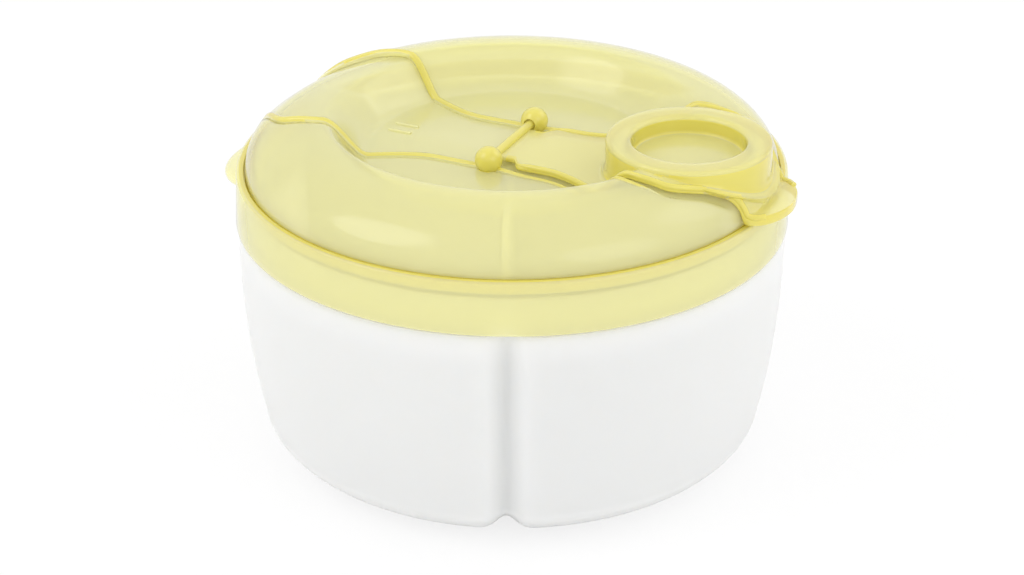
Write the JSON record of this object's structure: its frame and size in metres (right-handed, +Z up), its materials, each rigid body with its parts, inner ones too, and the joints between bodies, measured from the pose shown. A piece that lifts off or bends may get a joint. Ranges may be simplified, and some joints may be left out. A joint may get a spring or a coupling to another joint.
{
  "type": "formula dispenser",
  "caption": "Round infant formula dispenser: milky bowl, lift-out divider, translucent lid ring, turning dome with spout, and hinged flap with a round cap.",
  "frame": {"origin": "centre of the bowl's flat foot", "axes": "+Z up, +X from the centre along the pouring flap to its lip, +Y to the left of the flap"},
  "size_m": [0.1217, 0.1098, 0.0717],
  "materials": {
    "milky_plastic": "satin, milky polypropylene",
    "divider_plastic": "satin, milky polypropylene",
    "yellow_ring_plastic": "glossy, translucent pale yellow",
    "yellow_dome_plastic": "glossy, translucent pale yellow",
    "yellow_flap_plastic": "glossy, translucent yellow"
  },
  "bodies": {
    "bowl": {"bowl": "milky_plastic"},
    "divider": {"divider": "divider_plastic"},
    "lid_ring": {"lid_ring": "yellow_ring_plastic"},
    "dome": {"dome": "yellow_dome_plastic"},
    "flap": {"flap": "yellow_flap_plastic"}
  },
  "joints": [
    {"name": "lid_lift", "type": "slide", "parent": "bowl", "child": "lid_ring", "axis": [0, 0, 1], "range_m": [0, 0.14]},
    {"name": "divider_lift", "type": "slide", "parent": "bowl", "child": "divider", "axis": [0, 0, 1], "range_m": [0, 0.07]},
    {"name": "dome_turn", "type": "hinge", "parent": "lid_ring", "child": "dome", "pos_m": [0, 0, 0.06], "axis": [0, 0, 1], "continuous": true},
    {"name": "flap_swing", "type": "hinge", "parent": "dome", "child": "flap", "pos_m": [0, 0, 0.0645], "axis": [0, -1, 0], "range_deg": [0, 150]}
  ],
  "couplings": [
    {"joint": "divider_lift", "follows": "lid_lift", "ratio": 0.5}
  ]
}
